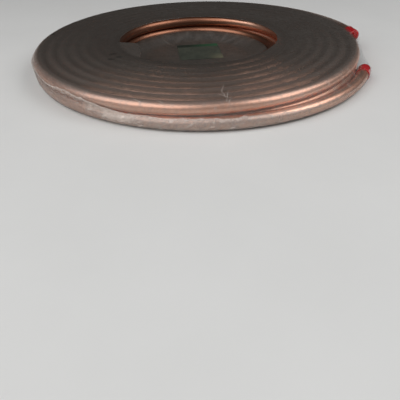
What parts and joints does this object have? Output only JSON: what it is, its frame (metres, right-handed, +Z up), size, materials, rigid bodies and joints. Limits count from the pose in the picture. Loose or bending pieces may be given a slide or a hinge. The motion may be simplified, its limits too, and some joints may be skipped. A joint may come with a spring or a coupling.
{
  "type": "copper tube coil",
  "caption": "Flat two-layer coil of soft copper tube with plastic end caps, sealed in clear shrink film, with an open bore.",
  "frame": {"origin": "on the coil's axis, at the underside of the film that it lies on", "axes": "+Z up along the coil's axis, +X towards the side where both tube ends come out"},
  "size_m": [0.4031, 0.4032, 0.0262],
  "materials": {
    "copper": "drawn soft copper, slightly dull",
    "cap_plastic": "glossy red",
    "clear_film": "clear shrink film with fine wrinkles",
    "label_card": "matt card"
  },
  "bodies": {
    "root": {"copper_tube": "copper", "end_cap_upper": "cap_plastic", "end_cap_lower": "cap_plastic", "shrink_film": "clear_film", "label": "label_card"}
  },
  "joints": []
}
